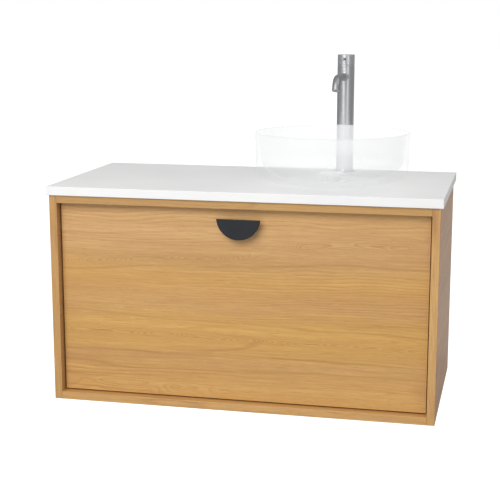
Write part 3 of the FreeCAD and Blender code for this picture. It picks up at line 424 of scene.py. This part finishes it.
def dress_twice(name, first, second, chosen):
    """Two materials on one node: the second goes on the faces that chosen picks."""
    dress(first, name)
    mesh = nodes[name].data
    mesh.materials.append(second)
    for face in mesh.polygons:
        face.material_index = 1 if chosen(face) else 0


def wide_side(face):
    return abs(face.normal.x) > 0.5


def down_front(share):
    """A height on the drawer front, as a share of the way down it."""
    return front_high.z - share * front_height


# Tints are (share of the way down, red green blue multipliers): the veneer's bands of tone,
# and in the top rows, down to about 0.22, a paler and bluer tint that is painted sheen.
# Arches are (height, slope, half width, centre along the board, reach) and lines are
# (height, slope, strength).
drawer_figure = {
    "span": (front_high.z, front_low.z),
    # top rows: painted sheen, bluer and paler; the rest: the veneer's own bands of tone
    "tints_and_sheen": ((0.0, (1.03, 1.06, 1.22)), (0.12, (1.03, 1.06, 1.26)), (0.22, (1.00, 1.02, 1.13)),
              (0.27, (0.97, 0.97, 0.98)), (0.36, (1.04, 1.04, 0.88)), (0.44, (1.00, 0.98, 0.92)),
              (0.53, (0.965, 0.945, 0.95)), (0.61, (1.03, 1.03, 0.84)), (0.72, (1.04, 1.04, 0.84)),
              (0.79, (0.94, 0.91, 0.89)), (0.88, (1.01, 0.99, 0.91)), (1.0, (1.05, 1.04, 0.92))),
    "arches": ((down_front(0.68), 0.0, 0.024, 0.0, 0.60),
               (down_front(0.25), 0.06, 0.026, -0.20, 0.26),
               (down_front(0.21), 0.06, 0.030, 0.26, 0.18)),
    "lines": ((down_front(0.77), 0.0, 1.0),
              (down_front(0.30), 0.04, 0.7),
              (down_front(0.58), -0.02, 0.6),
              (down_front(0.86), 0.03, 0.5),
              (down_front(0.13), 0.02, 0.5))}
dress(oak("oak_drawer", "X", "Z", 2.0, figure=drawer_figure), "drawer_front")
dress(oak("oak_rail_top", "X", "Z", 5.0, (196, 155, 97), (170, 127, 74)), "top_front_rail")
dress(oak("oak_bottom", "X", "Y", 8.0), "bottom_panel")
edge_left = oak("oak_edge_left", "Z", "X", 11.0, (210, 168, 104), (160, 114, 64),
                ring_lines=320.0, ring_mark=0.5)
edge_right = oak("oak_edge_right", "Z", "X", 14.0, (228, 188, 122), (170, 124, 72),
                 ring_lines=320.0, ring_mark=0.5)
dress_twice("side_panel_left", edge_left,
            oak("oak_side_left", "Y", "Z", 11.0, (205, 161, 106), (172, 128, 80)), wide_side)
dress_twice("side_panel_right", edge_right,
            oak("oak_side_right", "Y", "Z", 14.0, (206, 159, 108), (168, 123, 82)), wide_side)
dress(ply("ply_rails", "X", "Z", 17.0), "back_rail_upper", "back_rail_lower")
dress(ply("ply_sides", "Y", "Z", 20.0), "drawer_side_left", "drawer_side_right",
      "cutout_wall_left", "cutout_wall_right")
dress(ply("ply_backs", "X", "Z", 23.0), "drawer_back_left", "drawer_back_right",
      "cutout_wall_front")
dress(ply("ply_floor", "X", "Y", 26.0), "drawer_bottom")
dress(solid_surface("countertop_white"), "countertop")
dress(milky_glass_painted_glow("basin_milky_glass"), "basin")
nodes["basin"].visible_shadow = False
dress(brushed("tap_brushed_steel"), "tap_body", "tap_base_ring")
# The head takes a lighter copy of the tap's steel: painted light.
dress(brushed("head_brushed_steel_painted_light", (214, 215, 217)), "tap_head")
# The spout and lever take a darker copy of the tap's steel: painted shade.
SPOUT_SHADED_COLOUR, SPOUT_LOW, SPOUT_HIGH = (160, 161, 163), 0.42, 0.48
dress(brushed("spout_brushed_steel_painted_shade", SPOUT_SHADED_COLOUR, SPOUT_LOW, SPOUT_HIGH, across_z=False,
              root_highlight=(224, 225, 227)), "tap_spout")
dress(brushed("lever_brushed_steel_painted_shade", SPOUT_SHADED_COLOUR, SPOUT_LOW, SPOUT_HIGH, across_z=False),
      "tap_lever")
# the waste tube, plug and seal carry a painted glow that evens out their shading
dress(milky_plastic_painted_glow("waste_tube_white", glow=0.42, roughness=0.40), "waste_tube")
dress(polished("waste_chrome", (205, 207, 210)), "waste_nut", "waste_guide")
dress(milky_plastic_painted_glow("plug_white_plastic"), "waste_plug")
dress(milky_plastic_painted_glow("seal_clear_silicone", roughness=0.45), "basin_seal")
nodes["waste_plug"].visible_shadow = False
nodes["waste_tube"].visible_shadow = False
dress(polished("trap_chrome", (200, 202, 206), 0.1, 0.2), "trap_inlet_nut", "trap_inlet_pipe",
      "trap_body", "trap_cup", "trap_outlet_nut", "trap_outlet_pipe")
dress(moulded("rubber_black", (34, 34, 35), 0.7), "waste_washer", "tap_gasket",
      "drawer_bumper_left", "drawer_bumper_right")
dress(moulded("cartridge_plastic", (214, 214, 208), 0.45), "tap_cartridge", "head_fork",
      "tap_aerator")
dress(polished("brass_turned", (196, 164, 104), 0.18, 0.30), "cartridge_nut", "tap_stud",
      "tap_horseshoe", "tap_nut")
dress(polished("zinc_screw", (176, 178, 182), 0.2, 0.34), "head_pivot_pin", "head_grub_screw",
      "handle_screw_left", "handle_screw_right")
dress(polished("runner_zinc", (170, 173, 178), 0.24, 0.38),
      *("runner_%s_%s" % (side, part) for side in ("left", "right")
        for part in ("cabinet", "middle", "drawer")))
dress(powder_coat("handle_black"), "handle_plate", "handle_post_left", "handle_post_right")


# ---------------------------------------------------------------- stage, light and camera
def seen_directly(tree):
    """One for what the lens sees itself, zero for light that bounces."""
    return tree.nodes.new("ShaderNodeLightPath").outputs["Is Camera Ray"]


def build_floor():
    """A plain pale floor, well below the wall-hung unit."""
    drop, radius = 0.85, 40.0
    mesh = bpy.data.meshes.new("floor")
    shape = bmesh.new()
    bmesh.ops.create_circle(shape, cap_ends=True, radius=radius, segments=96)
    bmesh.ops.translate(shape, verts=shape.verts, vec=(0, 0, DECK - drop))
    shape.to_mesh(mesh)
    shape.free()
    floor = bpy.data.objects.new("floor", mesh)
    scene.collection.objects.link(floor)
    graph = Graph("floor_pale")
    patch = graph.noise(graph.stretch((0.6, 0.6, 0.6)), 2.0, 0.5)
    colour = graph.ramp(patch, [(0.3, (0.50, 0.50, 0.50, 1)), (0.7, (0.52, 0.52, 0.52, 1))])
    graph.set(Base_Color=colour, Roughness=0.9, Specular_IOR_Level=0.1)
    graph.set(Emission_Color=(1, 1, 1, 1))
    graph.set(Emission_Strength=graph.times(seen_directly(graph.tree), 0.9))
    mesh.materials.append(graph.material)


def build_world():
    """Soft surroundings that light the object gently and look plain white."""
    world = bpy.data.worlds.new("studio")
    scene.world = world
    world.use_nodes = True
    tree = world.node_tree
    tree.nodes.clear()
    strength = tree.nodes.new("ShaderNodeMapRange")
    tree.links.new(seen_directly(tree), strength.inputs["Value"])
    strength.inputs["To Min"].default_value = 0.45
    strength.inputs["To Max"].default_value = 1.0
    background = tree.nodes.new("ShaderNodeBackground")
    background.inputs["Color"].default_value = (1, 1, 1, 1)
    tree.links.new(strength.outputs[0], background.inputs["Strength"])
    output = tree.nodes.new("ShaderNodeOutputWorld")
    tree.links.new(background.outputs[0], output.inputs["Surface"])


def add_light(name, place, target, size, power):
    """A white area light: places and size in metres, power in watts."""
    lamp = bpy.data.lights.new(name, "AREA")
    lamp.shape = "RECTANGLE"
    lamp.size, lamp.size_y = size
    lamp.energy = power
    holder = bpy.data.objects.new(name, lamp)
    scene.collection.objects.link(holder)
    holder.location = place
    holder.visible_camera = False
    holder.rotation_euler = (Vector(target) - Vector(place)).to_track_quat("-Z", "Y").to_euler()


def turned(name, profile, centre):
    """A surface of revolution about a vertical axis: profile is a list of (radius, height)."""
    segments = 128
    shape = bmesh.new()
    rings = []
    for radius, height in profile:
        ring = []
        for step in range(segments):
            angle = 2 * math.pi * step / segments
            ring.append(shape.verts.new((centre.x + radius * math.cos(angle),
                                         centre.y + radius * math.sin(angle), height)))
        rings.append(ring)
    for lower, upper in zip(rings, rings[1:]):
        for step in range(segments):
            following = (step + 1) % segments
            shape.faces.new((lower[step], lower[following], upper[following], upper[step]))
    return finish_mesh(name, shape)


def finish_mesh(name, shape, smooth=True):
    """Turn a bmesh into a linked object with even normals."""
    bmesh.ops.recalc_face_normals(shape, faces=shape.faces)
    for face in shape.faces:
        face.smooth = smooth
    mesh = bpy.data.meshes.new(name)
    shape.to_mesh(mesh)
    shape.free()
    piece = bpy.data.objects.new(name, mesh)
    scene.collection.objects.link(piece)
    return piece


def circle(radius, count=40, turn=0.0):
    """The points of a circle, or of a regular polygon when count is small."""
    return [(radius * math.cos(turn + 2 * math.pi * step / count),
             radius * math.sin(turn + 2 * math.pi * step / count)) for step in range(count)]


def cross(reach, half):
    """The outline of a cross recess."""
    quarter = [(reach, -half), (reach, half), (half, half)]
    points = []
    for turn in range(4):
        for x, y in quarter:
            for _ in range(turn):
                x, y = -y, x
            points.append((x, y))
    return points


def rounded_rectangle(width, height, radius):
    """The outline of a rectangle with round corners."""
    steps = 5
    points = []
    for number, (sx, sy) in enumerate(((1, 1), (-1, 1), (-1, -1), (1, -1))):
        for step in range(steps + 1):
            angle = math.pi / 2 * (number + step / steps)
            points.append((sx * (width / 2 - radius) + radius * math.cos(angle),
                           sy * (height / 2 - radius) + radius * math.sin(angle)))
    return points


def aim(place, axis):
    """A placement whose own z axis points along axis."""
    return Matrix.Translation(place) @ Vector(axis).to_track_quat("Z", "Y").to_matrix().to_4x4()


def add_plate(shape, outline, holes, thickness, placement, top_scale=1.0):
    """Add a flat part with open holes; top_scale below one slopes its outer edge."""
    loops = [outline] + list(holes)
    flat = [[Vector((x, y, 0)) for x, y in loop] for loop in loops]
    triangles = tessellate_polygon(flat)
    layers = []
    for height, scale in ((0.0, 1.0), (thickness, top_scale)):
        layer = []
        for number, loop in enumerate(loops):
            share = scale if number == 0 else 1.0
            for x, y in loop:
                layer.append(shape.verts.new(placement @ Vector((x * share, y * share, height))))
        layers.append(layer)
    for a, b, c in triangles:
        shape.faces.new((layers[0][c], layers[0][b], layers[0][a]))
        shape.faces.new((layers[1][a], layers[1][b], layers[1][c]))
    start = 0
    for loop in loops:
        for step in range(len(loop)):
            a, b = start + step, start + (step + 1) % len(loop)
            shape.faces.new((layers[0][a], layers[0][b], layers[1][b], layers[1][a]))
        start += len(loop)


def add_screw(shape, place, axis, radius, height):
    """A pan head with a cross recess."""
    add_plate(shape, circle(radius), [cross(radius * 0.62, radius * 0.13)], height,
              aim(place, axis), 0.82)


def finish_piece(name, shape, body, material):
    """Link a flat-shaded piece, and say which body it rides on."""
    piece = finish_mesh(name, shape, smooth=False)
    piece.data.materials.append(material)
    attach(piece, body)


def build_camera():
    """The camera that fits the corners of the countertop and cabinet in the photograph.

    It stands to the front right, a little above the countertop, and looks down.
    """
    lens = bpy.data.cameras.new("camera")
    lens.lens = 86.34
    lens.sensor_width = 36.0
    camera = bpy.data.objects.new("camera", lens)
    scene.collection.objects.link(camera)
    camera.location = (0.6047, -2.9987, DECK + 0.38525)
    turn_left = math.radians(12.7835)
    look_down = math.radians(11.1274)
    camera.rotation_euler = Euler((math.pi / 2 - look_down, 0, turn_left))
    scene.camera = camera


def build_basin_bed():
    """Clear silicone that beds the basin's foot, with a small bead round its edge."""
    foot = basin_foot_radius()
    film, seal_band = 0.15 * MM, 9 * MM
    seal_low, seal_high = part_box("basin_seal")
    seal_radius = (seal_high.x - seal_low.x) / 2
    bead = [(foot, DECK + film), (foot + 0.8 * MM, DECK + 0.1 * MM),
            (foot + 1.5 * MM, DECK + 0.02 * MM)]
    edge = 0.3 * MM
    profile = [(seal_radius - seal_band, seal_high.z + film),
               (seal_radius - edge, seal_high.z + film),
               (seal_radius + edge, seal_high.z + film), (seal_radius + edge, DECK + film),
               (seal_radius + 2 * edge, DECK + film), (foot - 2 * edge, DECK + film)] + bead
    piece = turned("basin_silicone_bed", profile, BASIN)
    # the bed carries a painted glow that evens out its shading against the deck
    piece.data.materials.append(milky_plastic_painted_glow("silicone_clear", roughness=0.5))
    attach(piece, "cabinet")


def basin_foot_radius():
    """The radius of the basin's flat foot, read from its lowest vertices."""
    flat = basin_low.z + 0.01 * MM
    low = [vertex.co for vertex in nodes["basin"].data.vertices if vertex.co.z < flat]
    return max(math.hypot(point.x - BASIN.x, point.y - BASIN.y) for point in low)


def build_screws():
    """Screw heads on the handle, the runners and the rail, and washers on the wall fixings."""
    # screw heads are (radius, height)
    handle_head, runner_head = (4.3 * MM, 0.6 * MM), (3.8 * MM, 0.25 * MM)
    rail_head, rail_step, rail_back = (4.5 * MM, 0.8 * MM), 0.3, 12 * MM
    washer, washer_hole, washer_thick = 11 * MM, 3.6 * MM, 1.5 * MM
    fixing_inset = 76 * MM    # the wall-fixing holes, in from the rails' ends
    zinc = polished("screw_zinc_heads", (182, 184, 188), 0.2, 0.34)
    handle = bmesh.new()
    for name in ("handle_screw_left", "handle_screw_right"):
        low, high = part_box(name)
        place = ((low.x + high.x) / 2, high.y, (low.z + high.z) / 2)
        add_screw(handle, place, (0, 1, 0), *handle_head)
    finish_piece("handle_screw_heads", handle, "drawer", zinc)
    cabinet = bmesh.new()
    sheet = 1.2 * MM
    for side, name in ((1, "runner_right_cabinet"), (-1, "runner_left_cabinet")):
        low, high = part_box(name)
        face = (high.x - sheet) if side > 0 else (low.x + sheet)
        for share in (0.1, 0.5, 0.9):
            place = (face, low.y + (high.y - low.y) * share, (low.z + high.z) / 2)
            add_screw(cabinet, place, (-side, 0, 0), *runner_head)
    low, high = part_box("top_front_rail")
    for x in (-rail_step, 0.0, rail_step):
        place = (x, (low.y + high.y) / 2 + rail_back, low.z)
        add_screw(cabinet, place, (0, 0, -1), *rail_head)
    for name in ("back_rail_upper", "back_rail_lower"):
        low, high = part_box(name)
        for x in (low.x + fixing_inset, high.x - fixing_inset):
            add_plate(cabinet, circle(washer), [circle(washer_hole, 24)], washer_thick,
                      aim((x, low.y, (low.z + high.z) / 2), (0, -1, 0)), 0.95)
    finish_piece("cabinet_screws_and_washers", cabinet, "cabinet", zinc)


def build_brackets():
    """Steel angles that join the drawer front to the sides of the box."""
    shape = bmesh.new()
    sheet = 1.5 * MM
    leg, tall, corner = 24 * MM, 46 * MM, 4 * MM
    above_foot, below_top = 70 * MM, 45 * MM
    screw_step, screw_radius, screw_height = 13 * MM, 3.4 * MM, 0.9 * MM
    outline = rounded_rectangle(leg, tall, corner)
    for name, side in (("drawer_side_left", 1), ("drawer_side_right", -1)):
        low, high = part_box(name)
        inner = high.x if side > 0 else low.x
        for z in (low.z + above_foot, high.z - below_top):
            on_front = Vector((inner + side * leg / 2, low.y, z))
            on_side = Vector((inner, low.y + leg / 2, z))
            for place, axis in ((on_front, (0, 1, 0)), (on_side, (side, 0, 0))):
                add_plate(shape, outline, [], sheet, upright(place, axis), 0.96)
                for step in (-screw_step, screw_step):
                    head = place + Vector(axis) * sheet + Vector((0, 0, step))
                    add_screw(shape, head, axis, screw_radius, screw_height)
    finish_piece("drawer_front_brackets", shape, "drawer",
                 polished("bracket_zinc", (176, 178, 182), 0.24, 0.36))


def build_gap_shade_strips():
    """Soft dark strips on the side panels that close the gap behind the drawer front: painted
    shade, a dark fill where that gap lies in shadow.
    """
    shape = bmesh.new()
    clear, runner_clear = 0.5 * MM, 6 * MM
    base, nose, lip = 10 * MM, 8.5 * MM, 3 * MM
    runner_low, runner_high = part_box("runner_right_cabinet")
    rail_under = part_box("top_front_rail")[0].z
    floor_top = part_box("bottom_panel")[1].z
    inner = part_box("side_panel_right")[0].x
    y = front_high.y + clear
    section = [(0, 0), (-lip, 0)]
    for step in range(7):
        angle = math.pi / 2 * step / 6
        section.append((-lip - (nose - lip) * math.sin(angle), 1.5 * MM * (1 - math.cos(angle))))
    section += [(-nose, 3.5 * MM), (-lip, 5 * MM), (-lip, base), (0, base)]
    for foot, top in ((floor_top + clear, runner_low.z - runner_clear),
                      (runner_high.z + runner_clear, rail_under - clear)):
        for side in (1, -1):
            outline = [(side * x, depth) for x, depth in section]
            add_plate(shape, outline, [], top - foot, Matrix.Translation((side * inner, y, foot)))
    # dark brown: painted shade for the gap behind the drawer front
    finish_piece("gap_shade_strips", shape, "cabinet",
                 moulded("gap_shade_strip_dark", (58, 38, 22), 0.75))


def upright(place, axis):
    """A placement whose own z axis points along a level axis and whose y axis points up."""
    out = Vector(axis).normalized()
    up = Vector((0, 0, 1))
    right = up.cross(out)
    turn = Matrix((right, up, out)).transposed().to_4x4()
    return Matrix.Translation(place) @ turn


def build_tap_details():
    """The hexagon socket of the grub screw, the aerator's mesh and the seam ring."""
    low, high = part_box("head_grub_screw")
    socket = bmesh.new()
    add_plate(socket, circle(2.3 * MM), [circle(1.3 * MM, 6)], 0.4 * MM,
              aim(((low.x + high.x) / 2, high.y, (low.z + high.z) / 2), (0, 1, 0)), 0.92)
    finish_piece("grub_screw_socket", socket, "tap_control",
                 polished("socket_steel", (150, 152, 156), 0.25, 0.4))

    steep = math.radians(64)    # the outlet's dip below level, as in the CAD source
    out = Vector((0, -math.cos(steep), -math.sin(steep)))
    points = [vertex.co for vertex in nodes["tap_aerator"].data.vertices]
    reach = max(point.dot(out) for point in points)
    rim = [point for point in points if point.dot(out) > reach - 0.05 * MM]
    centre = sum(rim, Vector()) / len(rim)
    mesh_radius, mesh_thick, mesh_depth = 6.1 * MM, 0.5 * MM, 0.9 * MM
    pitch, hole, holes_within = 1.35 * MM, 0.52 * MM, 5.2 * MM
    row_step = 0.866    # of the pitch, in a triangular pattern
    holes = []
    for row in range(-5, 6):
        for column in range(-5, 6):
            x = (column + 0.5 * (row % 2)) * pitch
            y = row * pitch * row_step
            if math.hypot(x, y) < holes_within:
                holes.append([(x + a, y + b) for a, b in circle(hole, 6, math.pi / 6)])
    mesh = bmesh.new()
    add_plate(mesh, circle(mesh_radius), holes, mesh_thick, aim(centre - out * mesh_depth, out))
    finish_piece("aerator_mesh", mesh, "cabinet",
                 moulded("aerator_grey", (190, 191, 192), 0.4))

    body_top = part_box("tap_body")[1].z
    head_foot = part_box("tap_head")[0].z
    inside, outside = 20.55 * MM, 20.95 * MM
    foot, shoulder, crown = body_top - 0.1 * MM, head_foot - 0.68 * MM, head_foot - 0.62 * MM
    ring = turned("tap_seam_ring", [
        (inside, foot), (outside, foot), (outside, shoulder), (20.85 * MM, crown),
        (20.60 * MM, crown), (inside, shoulder), (inside, foot)], TAP)
    # The ring takes a lighter copy of the steel: painted light over the shaded seam.
    ring.data.materials.append(brushed("seam_brushed_steel_painted_light", (232, 233, 235)))
    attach(ring, "cabinet")


build_floor()
build_world()
build_basin_bed()
build_screws()
build_brackets()
build_gap_shade_strips()
build_tap_details()
add_light("key", (-0.9, -3.6, 2.5), (0, -0.3, 0.1), (3.0, 2.0), 125)
add_light("card_left", (-1.2, -3.9, 0.2), (0.17, -0.03, 0.2), (1.5, 1.7), 9)
add_light("card_right", (2.5, -3.3, 0.2), (0.17, -0.03, 0.2), (1.5, 1.7), 9)
add_light("back_card", (0.95, 1.15, DECK - 0.38), (0.44, 0.0, DECK - 0.3), (1.1, 0.9), 1.1)
add_light("fill", (1.9, -0.4, 2.7), (0.1, -0.2, 0.2), (2.0, 2.0), 14)
add_light("overhead", (0.0, -0.2, 3.0), (0.0, -0.2, 0.2), (2.0, 2.0), 3)
build_camera()
scene.view_settings.view_transform = "Standard"
